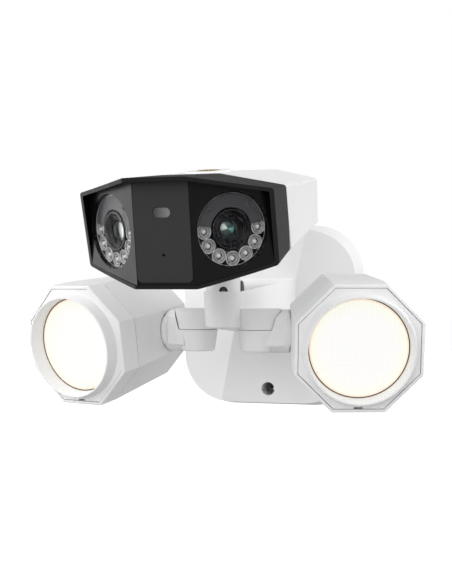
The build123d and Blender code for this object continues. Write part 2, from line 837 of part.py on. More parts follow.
front = lamp_forward                   # depths along the lamp, from the tilt axis
seam = front - bezel_depth
back = front - lamp_depth
plate_front, plate_back = front - 0.4, front - 3.4
collar_height = 7.6
lens_radius, lens_front = 30.9, front - 2.9
rear_screws = 32.0

for name, (side, yaw, pitch) in lamp_poses.items():
    joint_point = Vector(side * knuckle_x, knuckle_y, tilt_z)
    arm = facing(joint_point, yaw)
    across = Plane(origin=joint_point, x_dir=-arm.z_dir * side, z_dir=arm.x_dir * side)
    lamp = facing(joint_point + arm.x_dir * side * lamp_reach, yaw, pitch)
    inner_side = Plane(origin=lamp.origin, x_dir=-lamp.z_dir * side, z_dir=lamp.x_dir * side)

    # arm: lower half of the knuckle, a web and the tilt disc
    with BuildPart() as lamp_arm:
        with BuildSketch(across.offset(3)):
            Rectangle(web_width, 28.8)
        extrude(amount=disc_face - 4)
        with BuildSketch(across):
            Circle(disc_radius + 0.2)
        extrude(amount=40, mode=Mode.INTERSECT)
        with BuildSketch(across.offset(disc_face - 4)):
            Circle(disc_radius)
        extrude(amount=4)
        # room for the fixed upper half of the knuckle
        with BuildSketch(Plane.XY.offset(knuckle_split - split_gap)):
            with Locations((joint_point.X, joint_point.Y)):
                Circle(knuckle_radii[1] + 0.6)
        with BuildSketch(Plane.XY.offset(knuckle_top + 6)):
            with Locations((joint_point.X, joint_point.Y)):
                Circle(knuckle_radii[0] + 1.8)
        loft(mode=Mode.SUBTRACT)
        with BuildSketch(Plane.XY.offset(knuckle_bottom)):
            with Locations((joint_point.X, joint_point.Y)):
                Circle(knuckle_radii[2] - edge_break)
        with BuildSketch(Plane.XY.offset(knuckle_bottom + edge_break)):
            with Locations((joint_point.X, joint_point.Y)):
                Circle(knuckle_radii[2])
        with BuildSketch(Plane.XY.offset(knuckle_split - split_gap)):
            with Locations((joint_point.X, joint_point.Y)):
                Circle(knuckle_radii[1])
        loft(ruled=True)
        # bore and head recess of the knuckle pin, bore of the tilt pin
        with BuildSketch(Plane.XY.offset(knuckle_bottom)):
            with Locations((joint_point.X, joint_point.Y)):
                Circle(knuckle_pin_radius + 0.06)
        extrude(amount=20, mode=Mode.SUBTRACT)
        with BuildSketch(Plane.XY.offset(knuckle_bottom)):
            with Locations((joint_point.X, joint_point.Y)):
                Circle(5.6)
        extrude(amount=3.5, mode=Mode.SUBTRACT)
        with BuildSketch(across.offset(14.7)):
            Circle(lamp_pin_radius + 0.03)
        extrude(amount=20, mode=Mode.SUBTRACT)
    pieces[name + "_lamp_arm"] = lamp_arm

    with BuildPart() as tilt_pin:
        with BuildSketch(across.offset(14.8)):
            Circle(lamp_pin_radius)
        extrude(amount=14.6)
        with BuildSketch(across.offset(29.4)):
            Circle(7)
        extrude(amount=3)
        with BuildSketch(across.offset(10)):
            Circle(2.2)
        extrude(amount=30, mode=Mode.SUBTRACT)
    pieces[name + "_tilt_pin"] = tilt_pin

    with BuildPart() as bezel:
        with BuildSketch(lamp.offset(seam + 0.25)) as outline:
            octagon(lamp_flats)
            fillet(outline.vertices(), 1.6)
        extrude(amount=bezel_depth - 0.25)
        chamfer(faces().sort_by(Axis((0, 0, 0), lamp.z_dir))[-1].edges(), 0.6)
        chamfer(faces().sort_by(Axis((0, 0, 0), lamp.z_dir))[0].edges(), 0.5)
        with BuildSketch(lamp.offset(seam)):
            octagon(lamp_flats - 3.9)
        extrude(amount=30, mode=Mode.SUBTRACT)
    pieces[name + "_lamp_bezel"] = bezel

    with BuildPart() as lamp_housing:
        with BuildSketch(lamp.offset(seam)) as outline:
            octagon(lamp_flats)
            fillet(outline.vertices(), 1.6)
        with BuildSketch(lamp.offset(back)) as outline:
            octagon(lamp_back_flats)
            fillet(outline.vertices(), 1.6)
        loft(ruled=True)
        fillet(faces().sort_by(Axis((0, 0, 0), lamp.z_dir))[0].edges(), 1.5)
        # flat recess around the tilt disc, then the pad that meets the disc
        with BuildSketch(inner_side.offset(disc_face + 0.3 - lamp_reach)):
            Circle(disc_radius + 0.7)
        extrude(amount=-6, mode=Mode.SUBTRACT)
        with BuildSketch(inner_side.offset(disc_face + 0.3 - lamp_reach)):
            Circle(disc_radius)
        extrude(amount=6)
        with BuildSketch(lamp.offset(seam + 1)):
            octagon(lamp_flats - 5)
        with BuildSketch(lamp.offset(back + 3)):
            octagon(lamp_back_flats - 5)
        loft(ruled=True, mode=Mode.SUBTRACT)
        with BuildSketch(inner_side.offset(disc_face + 2.5 - lamp_reach)):
            Circle(8.5)
        extrude(amount=5)
        with BuildSketch(inner_side.offset(disc_face - lamp_reach)):
            Circle(lamp_pin_radius + 0.07)
        extrude(amount=14, mode=Mode.SUBTRACT)
        # four recessed screw holes in the back
        with BuildSketch(lamp.offset(back)):
            with GridLocations(rear_screws, rear_screws, 2, 2):
                Circle(3.3)
        extrude(amount=1.6, mode=Mode.SUBTRACT)
        with BuildSketch(lamp.offset(back)):
            with GridLocations(rear_screws, rear_screws, 2, 2):
                Circle(1.7)
        extrude(amount=5, mode=Mode.SUBTRACT)
    pieces[name + "_lamp_housing"] = lamp_housing

    with BuildPart() as lamp_screws:
        with BuildSketch(lamp.offset(back + 0.1)):
            with GridLocations(rear_screws, rear_screws, 2, 2):
                Circle(3)
        extrude(amount=1.4)
        with BuildSketch(lamp.offset(back + 1.5)):
            with GridLocations(rear_screws, rear_screws, 2, 2):
                Circle(1.45)
        extrude(amount=9)
    pieces[name + "_lamp_screws"] = lamp_screws

    with BuildPart() as face_plate:
        with BuildSketch(lamp.offset(plate_back)):
            octagon(lamp_flats - face_inset)
        extrude(amount=plate_front - plate_back)
        with BuildSketch(lamp.offset(plate_front)):
            Circle(35.5)
        with BuildSketch(lamp.offset(plate_front + collar_height)):
            Circle(33.7)
        loft()
        with BuildSketch(lamp.offset(plate_back)):
            Circle(31.5)
        with BuildSketch(lamp.offset(plate_front + collar_height)):
            Circle(32.5)
        loft(mode=Mode.SUBTRACT)
        # drain slot at the bottom
        with BuildSketch(lamp.offset(plate_back)):
            with Locations((0, -37.2)):
                Rectangle(5.5, 1.0)
        extrude(amount=10, mode=Mode.SUBTRACT)
    pieces[name + "_face_plate"] = face_plate

    with BuildPart() as lamp_lens:
        with BuildSketch(lamp.offset(lens_front - 3)):
            Circle(lens_radius)
        extrude(amount=3)
    pieces[name + "_lamp_lens"] = lamp_lens

    with BuildPart() as lens_gasket:
        with BuildSketch(lamp.offset(lens_front - 4.5)):
            Circle(lens_radius)
            Circle(lens_radius - 2.3, mode=Mode.SUBTRACT)
        extrude(amount=1.5)
    pieces[name + "_lens_gasket"] = lens_gasket

    with BuildPart() as reflector:
        with BuildSketch(lamp.offset(lens_front - 5.7)):
            Circle(37.2)
        extrude(amount=1.2)
        with BuildSketch(lamp.offset(lens_front - 18.4)):
            Circle(22.2)
        with BuildSketch(lamp.offset(lens_front - 5.7)):
            Circle(31.0)
        loft()
        with BuildSketch(lamp.offset(lens_front - 18.4)):
            Circle(20.8)
        with BuildSketch(lamp.offset(lens_front - 4.5)):
            Circle(30.5)
        loft(mode=Mode.SUBTRACT)
    pieces[name + "_reflector"] = reflector

    with BuildPart() as led_board:
        with BuildSketch(lamp.offset(lens_front - 20.2)):
            Circle(24)
        extrude(amount=1.6)
        with BuildSketch(lamp.offset(lens_front - 18.6)):
            with PolarLocations(8, 8):
                Rectangle(3, 3)
            with PolarLocations(16, 16):
                Rectangle(3, 3)
        extrude(amount=0.7)
    pieces[name + "_led_board"] = led_board

    with BuildPart() as heat_sink:
        with BuildSketch(lamp.offset(lens_front - 23.4)):
            Circle(26)
        extrude(amount=3.2)
        with BuildSketch(lamp.offset(-6)):
            with GridLocations(7.5, 0, 7, 1):
                Rectangle(2, 60)
        extrude(amount=lens_front - 17.4)
        with BuildSketch(lamp.offset(-7)):
            Circle(26)
        extrude(amount=lens_front - 13.2, mode=Mode.INTERSECT)
        with BuildSketch(lamp.offset(back + 3.1)):
            with GridLocations(rear_screws, rear_screws, 2, 2):
                Circle(3.4)
        extrude(amount=lens_front - 23.4 - back)
        with BuildSketch(lamp.offset(back)):
            with GridLocations(rear_screws, rear_screws, 2, 2):
                Circle(1.5)
        extrude(amount=12, mode=Mode.SUBTRACT)
    pieces[name + "_heat_sink"] = heat_sink


# ---------------------------------------------------------------- files
for name, piece in pieces.items():
    piece.part.label = name
    export_step(piece.part, f"parts/{name}.step")
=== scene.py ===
"""Looks of the floodlight security camera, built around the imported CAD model.

Metres, row frame: +X right, +Y into the wall, +Z up. The camera head looks along -Y.
"""
import json
from math import cos, pi, radians, sin

import bmesh
import bpy
from mathutils import Matrix, Vector

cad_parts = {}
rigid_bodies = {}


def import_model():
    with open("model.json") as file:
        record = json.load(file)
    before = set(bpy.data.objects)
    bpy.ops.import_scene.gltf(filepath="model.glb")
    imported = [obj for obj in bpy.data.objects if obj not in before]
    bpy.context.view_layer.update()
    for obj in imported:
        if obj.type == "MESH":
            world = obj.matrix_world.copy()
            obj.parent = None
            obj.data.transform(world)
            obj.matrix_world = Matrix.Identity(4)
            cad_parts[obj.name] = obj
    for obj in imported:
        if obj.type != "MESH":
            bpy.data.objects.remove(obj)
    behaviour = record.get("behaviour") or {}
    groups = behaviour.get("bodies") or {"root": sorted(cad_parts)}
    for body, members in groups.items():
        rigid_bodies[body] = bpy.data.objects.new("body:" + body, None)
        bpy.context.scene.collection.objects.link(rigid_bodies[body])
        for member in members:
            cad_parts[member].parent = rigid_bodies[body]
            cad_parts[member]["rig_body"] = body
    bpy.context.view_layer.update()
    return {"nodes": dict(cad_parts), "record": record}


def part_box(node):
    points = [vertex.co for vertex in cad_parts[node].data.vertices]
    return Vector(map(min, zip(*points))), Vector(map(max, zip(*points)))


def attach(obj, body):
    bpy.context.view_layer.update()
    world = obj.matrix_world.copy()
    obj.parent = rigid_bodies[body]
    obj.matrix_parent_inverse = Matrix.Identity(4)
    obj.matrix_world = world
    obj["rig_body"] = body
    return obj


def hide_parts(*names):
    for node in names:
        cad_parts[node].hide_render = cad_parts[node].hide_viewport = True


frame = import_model()
record = frame["record"]
nodes = frame["nodes"]
MM = 0.001

# ---------------------------------------------------------------- measures, millimetres and degrees
face_turn = 38.5             # how far each lens face turns back from the centre panel
head_pitch = 10.5
lamp_turn = {"right": (16.6, 8.6), "left": (-18.6, 9.3)}     # yaw and pitch of each lamp
lens_radius, lens_half = 30.9, 1.5
prism_cell, prism_depth = 1.5, 0.22
lens_band = 1.2              # plain band round the grid of prisms
led_ring, led_count = 16.2, 7
window_half = 1.05           # half the thickness of a window
clip_ring, clip_angles = 17.9, (50, 139)


# ---------------------------------------------------------------- materials
class Nodes:
    """Short way to add shader nodes to one material."""

    def __init__(self, name):
        self.material = bpy.data.materials.new(name)
        self.material.use_nodes = True
        self.tree = self.material.node_tree
        self.tree.nodes.clear()
        self.out = self.tree.nodes.new("ShaderNodeOutputMaterial")
        self.place = self.add("ShaderNodeTexCoord").outputs["Object"]

    def add(self, kind, **values):
        node = self.tree.nodes.new(kind)
        for key, value in values.items():
            setattr(node, key, value)
        return node

    def link(self, a, b):
        self.tree.links.new(a, b)

    def noise(self, scale, detail=4.0, rough=0.55, vector=None):
        node = self.add("ShaderNodeTexNoise")
        node.inputs["Scale"].default_value = scale
        node.inputs["Detail"].default_value = detail
        node.inputs["Roughness"].default_value = rough
        self.link(vector or self.place, node.inputs["Vector"])
        return node.outputs["Fac"]

    def spread(self, value, low, high, start=0.3, end=0.7):
        """Map a factor from start..end to low..high."""
        node = self.add("ShaderNodeMapRange")
        node.inputs["From Min"].default_value = start
        node.inputs["From Max"].default_value = end
        node.inputs["To Min"].default_value = low
        node.inputs["To Max"].default_value = high
        self.link(value, node.inputs["Value"])
        return node.outputs["Result"]

    def blend(self, factor, low, high):
        node = self.add("ShaderNodeMix", data_type="RGBA")
        self.link(factor, node.inputs["Factor"])
        node.inputs["A"].default_value = (*low, 1)
        node.inputs["B"].default_value = (*high, 1)
        return node.outputs["Result"]

    def bump(self, height, distance):
        node = self.add("ShaderNodeBump")
        node.inputs["Strength"].default_value = 1.0
        node.inputs["Distance"].default_value = distance
        self.link(height, node.inputs["Height"])
        return node.outputs["Normal"]

    def shader(self, **values):
        node = self.add("ShaderNodeBsdfPrincipled")
        for key, value in values.items():
            node.inputs[key.replace("_", " ")].default_value = value
        self.link(node.outputs["BSDF"], self.out.inputs["Surface"])
        return node


def satin(name, low, high, rough, grain, depth, **more):
    """Moulded or coated surface: fine grain, slight colour and roughness variation."""
    n = Nodes(name)
    s = n.shader(**more)
    cloud = n.noise(35, 3)
    fine = n.noise(grain, 2, 0.5)
    n.link(n.blend(cloud, low, high), s.inputs["Base Color"])
    n.link(n.spread(n.noise(160, 5), rough[0], rough[1]), s.inputs["Roughness"])
    n.link(n.bump(fine, depth), s.inputs["Normal"])
    return n.material


def metal(name, low, high, rough, stretch, depth):
    """Turned, extruded or plated metal with fine tool marks along one direction."""
    n = Nodes(name)
    s = n.shader(Metallic=1.0)
    scaled = n.add("ShaderNodeVectorMath", operation="MULTIPLY")
    n.link(n.place, scaled.inputs[0])
    scaled.inputs[1].default_value = stretch
    marks = n.noise(1.0, 3, 0.6, scaled.outputs[0])
    n.link(n.blend(marks, low, high), s.inputs["Base Color"])
    n.link(n.spread(marks, rough[0], rough[1]), s.inputs["Roughness"])
    n.link(n.bump(marks, depth), s.inputs["Normal"])
    return n.material


def board(name, mask, mask_high, trace):
    """Printed circuit board: solder mask with paler traces."""
    n = Nodes(name)
    s = n.shader()
    lines = n.add("ShaderNodeTexVoronoi", feature="DISTANCE_TO_EDGE", distance="MANHATTAN")
    lines.inputs["Scale"].default_value = 260
    n.link(n.place, lines.inputs["Vector"])
    track = n.spread(lines.outputs["Distance"], 1, 0, 0.03, 0.08)
    plain = n.blend(n.noise(90), mask, mask_high)
    mix = n.add("ShaderNodeMix", data_type="RGBA")
    n.link(track, mix.inputs["Factor"])
    n.link(plain, mix.inputs["A"])
    mix.inputs["B"].default_value = (*trace, 1)
    n.link(mix.outputs["Result"], s.inputs["Base Color"])
    n.link(n.spread(track, 0.35, 0.5, 0, 1), s.inputs["Roughness"])
    n.link(n.bump(track, 0.00004), s.inputs["Normal"])
    return n.material


def clear(name, tint, rough, ior):
    """Clear or coated glass that lets direct light through."""
    n = Nodes(name)
    s = n.shader(Transmission_Weight=1.0, IOR=ior)
    s.inputs["Base Color"].default_value = (*tint, 1)
    n.link(n.spread(n.noise(220, 4), rough[0], rough[1]), s.inputs["Roughness"])
    path = n.add("ShaderNodeLightPath")
    through = n.add("ShaderNodeBsdfTransparent")
    through.inputs["Color"].default_value = (*tint, 1)
    mix = n.add("ShaderNodeMixShader")
    n.link(path.outputs["Is Shadow Ray"], mix.inputs["Fac"])
    n.link(s.outputs["BSDF"], mix.inputs[1])
    n.link(through.outputs["BSDF"], mix.inputs[2])
    n.link(mix.outputs["Shader"], n.out.inputs["Surface"])
    return n.material


def light_guide(name):
    """Smoked window that is paler toward its right end, over a small cell behind it."""
    n = Nodes(name)
    s = n.shader(Coat_Weight=0.6, Coat_Roughness=0.05)
    split = n.add("ShaderNodeSeparateXYZ")
    n.link(n.place, split.inputs[0])
    along = n.spread(split.outputs["X"], 0, 1, -0.0045, 0.0045)
    n.link(n.blend(along, (0.03, 0.03, 0.033), (0.22, 0.22, 0.225)), s.inputs["Base Color"])
    n.link(n.spread(n.noise(500), 0.14, 0.24), s.inputs["Roughness"])
    n.link(n.bump(n.noise(900, 2), 0.00001), s.inputs["Normal"])
    return n.material


materials = {
    "white_cast": satin("white_cast", (0.86, 0.86, 0.865), (0.89, 0.89, 0.895), (0.38, 0.5),
                        1800, 0.00002),
    "white_plastic": satin("white_plastic", (0.87, 0.87, 0.875), (0.9, 0.9, 0.905),
                           (0.36, 0.48), 2400, 0.000012),
    "white_gloss": satin("white_gloss", (0.86, 0.86, 0.86), (0.9, 0.9, 0.9), (0.15, 0.22),
                         900, 0.00001),
    "black_plastic": satin("black_plastic", (0.004, 0.004, 0.0047), (0.007, 0.007, 0.008),
                           (0.42, 0.52), 2600, 0.00002, Specular_IOR_Level=0.3),
    "black_gloss": satin("black_gloss", (0.002, 0.002, 0.0024), (0.0035, 0.0035, 0.004),
                         (0.26, 0.34), 2600, 0.000008, Specular_IOR_Level=0.3),
    "dark_panel": satin("dark_panel", (0.021, 0.021, 0.023), (0.025, 0.025, 0.027),
                        (0.42, 0.5), 2600, 0.000015, Specular_IOR_Level=0.35),
    "sensor_lens": light_guide("sensor_lens"),
    "rubber": satin("rubber", (0.012, 0.012, 0.012), (0.02, 0.02, 0.02), (0.6, 0.75), 1500,
                    0.00003),
    "button_plastic": satin("button_plastic", (0.2, 0.2, 0.21), (0.25, 0.25, 0.26),
                            (0.4, 0.5), 1500, 0.00002),
    "steel": metal("steel", (0.5, 0.5, 0.5), (0.65, 0.65, 0.64), (0.25, 0.42),
                   (900, 900, 60), 0.00001),
    "dark_steel": metal("dark_steel", (0.05, 0.05, 0.055), (0.09, 0.09, 0.095), (0.35, 0.5),
                        (900, 900, 60), 0.00001),
    "brass": metal("brass", (0.55, 0.38, 0.13), (0.78, 0.58, 0.24), (0.2, 0.36),
                   (900, 900, 60), 0.00001),
    "aluminium": metal("aluminium", (0.62, 0.62, 0.63), (0.75, 0.75, 0.76), (0.3, 0.45),
                       (60, 700, 700), 0.00001),
    "circuit_board": board("circuit_board", (0.012, 0.09, 0.035), (0.02, 0.12, 0.05),
                           (0.06, 0.2, 0.09)),
    "led_board": board("led_board", (0.75, 0.74, 0.7), (0.8, 0.79, 0.75), (0.6, 0.5, 0.2)),
    "clear_window": clear("clear_window", (0.985, 0.985, 0.99), (0.0, 0.004), 1.05),
    "coated_glass": clear("coated_glass", (0.9, 0.95, 0.94), (0.0, 0.004), 1.2),
    "ir_lens": satin("ir_lens", (0.35, 0.35, 0.34), (0.5, 0.5, 0.48), (0.12, 0.2), 900, 0.00001),
}


slot_of = {part["node"]: part["material_slot"] for part in record["subparts"]}


def dress(piece, material):
    piece.data.materials.clear()
    piece.data.materials.append(material)


for name, node in nodes.items():
    if slot_of[name] in materials:
        dress(node, materials[slot_of[name]])


# ---------------------------------------------------------------- places on the object
def turned(yaw, pitch, origin):
    """Matrix of a frame that looks forward (local +Z), turned by yaw and pitched down."""
    turn = Matrix.Rotation(radians(yaw), 4, "Z") @ Matrix.Rotation(radians(pitch), 4, "X")
    axes = Matrix(((1, 0, 0, 0), (0, 0, -1, 0), (0, 1, 0, 0), (0, 0, 0, 1)))
    return Matrix.Translation(origin) @ turn @ axes


def middle(node):
    low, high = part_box(node)
    return (low + high) / 2


# ---------------------------------------------------------------- lamps
def diffuser(name):
    """Material of a lit lamp lens, its pattern worked out from the piece's own coordinates."""
    n = Nodes(name)
    s = n.shader(IOR=1.45)
    split = n.add("ShaderNodeSeparateXYZ")
    n.link(n.place, split.inputs[0])
    flat = n.add("ShaderNodeCombineXYZ")
    n.link(split.outputs["X"], flat.inputs["X"])
    n.link(split.outputs["Y"], flat.inputs["Y"])
    length = n.add("ShaderNodeVectorMath", operation="LENGTH")
    n.link(flat.outputs[0], length.inputs[0])
    rim = n.spread(length.outputs["Value"], 0, 1, 0.0225, 0.0305)
    cells = n.add("ShaderNodeTexVoronoi", feature="F1", distance="CHEBYCHEV")
    cells.inputs["Scale"].default_value = 750
    cells.inputs["Randomness"].default_value = 0.0
    n.link(flat.outputs[0], cells.inputs["Vector"])
    cell = n.spread(cells.outputs["Distance"], 1.0, 0.9, 0.0, 0.5)
    glow = n.blend(rim, (0.98, 0.97, 0.955), (0.985, 0.99, 0.84))
    edge = n.spread(length.outputs["Value"], 0, 1, 0.0296, 0.0303)
    warm = n.add("ShaderNodeMix", data_type="RGBA")
    n.link(edge, warm.inputs["Factor"])
    n.link(glow, warm.inputs["A"])
    warm.inputs["B"].default_value = (1.0, 0.78, 0.6, 1)
    front = n.spread(split.outputs["Z"], 0, 1, 0.0009, 0.0011)
    lit = n.add("ShaderNodeMath", operation="MULTIPLY")
    n.link(front, lit.inputs[0])
    n.link(cell, lit.inputs[1])
    dim = n.add("ShaderNodeVectorMath", operation="SCALE")
    n.link(warm.outputs["Result"], dim.inputs[0])
    n.link(lit.outputs[0], dim.inputs["Scale"])
    n.link(dim.outputs[0], s.inputs["Emission Color"])
    s.inputs["Emission Strength"].default_value = 0.96
    s.inputs["Base Color"].default_value = (0.1, 0.1, 0.095, 1)
    n.link(n.spread(cells.outputs["Distance"], 0.2, 0.35, 0, 0.5), s.inputs["Roughness"])
    return n.material


glow = diffuser("lamp_diffuser")


def mesh_object(name, make, material, place=Matrix.Identity(4), smooth=35.0):
    """Object from a function that fills a bmesh, smooth-shaded below an edge angle."""
    bm = bmesh.new()
    make(bm)
    bmesh.ops.recalc_face_normals(bm, faces=bm.faces)
    mesh = bpy.data.meshes.new(name)
    bm.to_mesh(mesh)
    bm.free()
    piece = bpy.data.objects.new(name, mesh)
    bpy.context.scene.collection.objects.link(piece)
    piece.matrix_world = place
    mesh.materials.append(material)
    mesh.shade_smooth()
    mesh.set_sharp_from_angle(angle=radians(smooth))
    return piece


def lathe(bm, profile, steps=64, closed=True, centre=(0, 0)):
    """Turn a profile of (radius, height) points about the local Z axis."""
    rings = []
    for radius, height in profile:
        if radius < 1e-7:
            rings.append([bm.verts.new((centre[0], centre[1], height))])
            continue
        rings.append([bm.verts.new((centre[0] + radius * cos(2 * pi * i / steps),
                                    centre[1] + radius * sin(2 * pi * i / steps), height))
                      for i in range(steps)])
    pairs = list(zip(rings, rings[1:]))
    if closed:
        pairs.append((rings[-1], rings[0]))
    for a, b in pairs:
        for i in range(steps):
            j = (i + 1) % steps
            corners = [a[i % len(a)], a[j % len(a)], b[j % len(b)], b[i % len(b)]]
            unique = list(dict.fromkeys(corners))
            if len(unique) >= 3:
                bm.faces.new(unique)


def baked(piece):
    """Apply every modifier of a piece."""
    graph = bpy.context.evaluated_depsgraph_get()
    mesh = bpy.data.meshes.new_from_object(piece.evaluated_get(graph))
    piece.modifiers.clear()
    piece.data = mesh
    return piece


crease, bevel_steps = 28, 3


def softened(node, width):
    """Copy of a CAD piece whose edges sharper than the crease angle are rounded."""
    piece = bpy.data.objects.new(node + "_soft", nodes[node].data.copy())
    bpy.context.scene.collection.objects.link(piece)
    bm = bmesh.new()
    bm.from_mesh(piece.data)
    bmesh.ops.remove_doubles(bm, verts=bm.verts, dist=2e-6)
    bmesh.ops.dissolve_limit(bm, angle_limit=radians(0.5), verts=bm.verts, edges=bm.edges)
    weight = bm.edges.layers.float.new("bevel_weight_edge")
    for edge in bm.edges:
        if len(edge.link_faces) == 2 and edge.calc_face_angle(0) >= radians(crease):
            edge[weight] = 1.0
    bm.to_mesh(piece.data)
    bm.free()
    piece.data.shade_smooth()
    piece.data.set_sharp_from_angle(angle=radians(crease))
    bevel = piece.modifiers.new("bevel", "BEVEL")
    bevel.limit_method = "WEIGHT"
    bevel.offset_type = "OFFSET"
    bevel.width = width
    bevel.segments = bevel_steps
    bevel.use_clamp_overlap = False
    bevel.harden_normals = True
    piece.modifiers.new("normals", "WEIGHTED_NORMAL").keep_sharp = True
    baked(piece)
    dress(piece, materials[slot_of[node]])
    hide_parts(node)
    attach(piece, nodes[node]["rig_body"])
    return piece


def arc(radius, height, start, end, steps):
    """Profile points on an arc about the axis point at a height."""
    return [(radius * cos(radians(start + (end - start) * i / steps)),
             height + radius * sin(radians(start + (end - start) * i / steps)))
            for i in range(steps + 1)]


def scaled(points):
    return [(r * MM, h * MM) for r, h in points]


for side, (yaw, pitch) in lamp_turn.items():
    node = side + "_lamp_lens"
    place = turned(yaw, pitch, middle(node))

    def prisms(bm):
        """Disc with a raised rim band and a grid of shallow pyramids."""
        radius, half = lens_radius * MM, lens_half * MM
        cell, depth = prism_cell * MM, prism_depth * MM
        edge = radius - lens_band * MM
        profile = [(0, -half), (radius, -half), (radius, half - 0.4 * MM),
                   (radius - 0.4 * MM, half), (edge, half)]
        lathe(bm, profile, 96, closed=False)
        count = int(edge / cell) + 1
        grid = {}

        def vertex(i, j, raised):
            x, y = i * cell / 2, j * cell / 2
            length = (x * x + y * y) ** 0.5
            if length > edge:
                x, y = x * edge / length, y * edge / length
            key = (round(x / MM, 4), round(y / MM, 4))
            if key not in grid:
                grid[key] = bm.verts.new((x, y, half - (depth if raised else 0)))
            return grid[key]

        for i in range(-count, count):
            for j in range(-count, count):
                cx, cy = (i + 0.5) * cell, (j + 0.5) * cell
                if cx * cx + cy * cy > (edge + 0.6 * cell) ** 2:
                    continue
                corners = [vertex(2 * i, 2 * j, False), vertex(2 * i + 2, 2 * j, False),
                           vertex(2 * i + 2, 2 * j + 2, False), vertex(2 * i, 2 * j + 2, False)]
                top = vertex(2 * i + 1, 2 * j + 1, True)
                for a, b in zip(corners, corners[1:] + corners[:1]):
                    if len({a, b, top}) == 3:
                        try:
                            bm.faces.new((a, b, top))
                        except ValueError:              # two cells meet in one face at the rim
                            pass

    lens = mesh_object(side + "_lamp_prism_lens", prisms, glow, place, 20)
    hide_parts(node)
    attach(lens, side + "_lamp")

    def seal(bm):
        """Seat under the lens with a lip up its side."""
        lathe(bm, scaled([(28.6, -3.0), (31.45, -3.0), (31.45, 0.7), (31.3, 0.9), (31.1, 0.9),
                          (30.97, 0.7), (30.97, -1.52), (28.6, -1.52)]), 96)

    gasket = mesh_object(side + "_lens_seal", seal, materials["rubber"], place, 30)
    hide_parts(side + "_lens_gasket")
    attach(gasket, side + "_lamp")

# ---------------------------------------------------------------- camera eyes
head_axes = turned(0, head_pitch, (0, 0, 0))


def eye_place(side, node):
    """Frame on a lens face through the middle of a round node, looking out."""
    turn = head_axes @ Matrix.Rotation(radians(side * face_turn), 4, "Y")
    return Matrix.Translation(middle(node)) @ turn


reflector_cup = satin("reflector_cup", (0.10, 0.10, 0.10), (0.2, 0.2, 0.2), (0.1, 0.2), 700,
                      0.000008, Coat_Weight=1.0, Coat_Roughness=0.05)
# pale grey of the lip rings: a painted highlight on the edges of the cups and of the window
rim_highlight_paint = satin("rim_highlight_paint", (0.32, 0.32, 0.32), (0.45, 0.45, 0.45), (0.1, 0.2), 900, 0.000004,
                Coat_Weight=1.0, Coat_Roughness=0.03)
emitter = satin("emitter", (0.42, 0.42, 0.4), (0.52, 0.52, 0.49), (0.08, 0.14), 900, 0.000004,
                Coat_Weight=1.0, Coat_Roughness=0.03)
lens_black = satin("lens_black", (0.004, 0.004, 0.0045), (0.007, 0.007, 0.008), (0.25, 0.34),
                   1500, 0.000006, Specular_IOR_Level=0.36)
inner_plate = satin("inner_plate", (0.036, 0.036, 0.039), (0.046, 0.046, 0.05), (0.32, 0.42),
                    1500, 0.000006)
clip_plastic = satin("clip_plastic", (0.03, 0.03, 0.032), (0.05, 0.05, 0.052), (0.3, 0.4), 1200,
                     0.00001)


def pupil_painted_glints(side):
    """Inner lens element: dark glass with a painted pale highlight and a painted teal reflection,
    set by angle round its axis.
    """
    n = Nodes(side + "_pupil_painted_glints")
    s = n.shader(Roughness=0.15, Coat_Weight=0.3, Coat_Roughness=0.1)
    split = n.add("ShaderNodeSeparateXYZ")
    n.link(n.place, split.inputs[0])
    angle = n.add("ShaderNodeMath", operation="ARCTAN2")
    n.link(split.outputs["Y"], angle.inputs[0])
    n.link(split.outputs["X"], angle.inputs[1])
    ramp = n.add("ShaderNodeValToRGB")
    turn = n.spread(angle.outputs[0], 0, 1, -pi, pi)
    n.link(turn, ramp.inputs["Fac"])
    # pale is a painted highlight and teal a painted reflection, laid out by angle round the axis;
    # dark is the glass itself
    dark, teal, pale = (0.05, 0.065, 0.065), (0.2, 0.45, 0.43), (0.8, 0.81, 0.77)
    stops = ((0.0, pale), (0.05, (0.12, 0.2, 0.17)), (0.10, dark), (0.36, dark), (0.42, teal),
             (0.50, teal), (0.56, dark), (0.80, dark), (0.87, pale), (1.0, pale))
    elements = ramp.color_ramp.elements
    while len(elements) < len(stops):
        elements.new(0.5)
    for element, (position, colour) in zip(elements, stops):
        element.position = position
        element.color = (*colour, 1)
    n.link(ramp.outputs["Color"], s.inputs["Base Color"])
    return n.material


